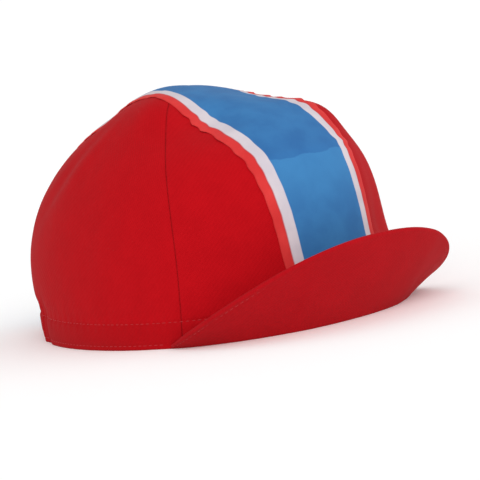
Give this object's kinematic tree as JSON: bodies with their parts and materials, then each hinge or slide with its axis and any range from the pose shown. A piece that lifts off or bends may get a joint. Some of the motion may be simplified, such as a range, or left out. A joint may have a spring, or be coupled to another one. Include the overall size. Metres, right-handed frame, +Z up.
{
  "type": "cycling cap",
  "caption": "Soft cotton cycling cap with a rounded crown, a striped ribbon from front to rear, and a short stiffened peak turned up at the front.",
  "frame": {"origin": "middle of the whole cap's box, on the surface that its rim stands on", "axes": "+Z up out of the crown, -Y to the front where the peak is, -X to the wearer's right"},
  "size_m": [0.1698, 0.2236, 0.1155],
  "materials": {
    "crown_cotton": "matt fine twill cotton, red",
    "ribbon_tape": "smooth printed tape, blue between white and orange-red edge stripes",
    "peak_cotton": "matt fine twill cotton over a stiff board, red",
    "hem_cotton": "matt fine twill cotton, red"
  },
  "bodies": {
    "root": {"front_right_panel": "crown_cotton", "front_left_panel": "crown_cotton", "rear_right_panel": "crown_cotton", "rear_left_panel": "crown_cotton", "ribbon": "ribbon_tape", "peak": "peak_cotton", "hem": "hem_cotton"}
  },
  "joints": []
}
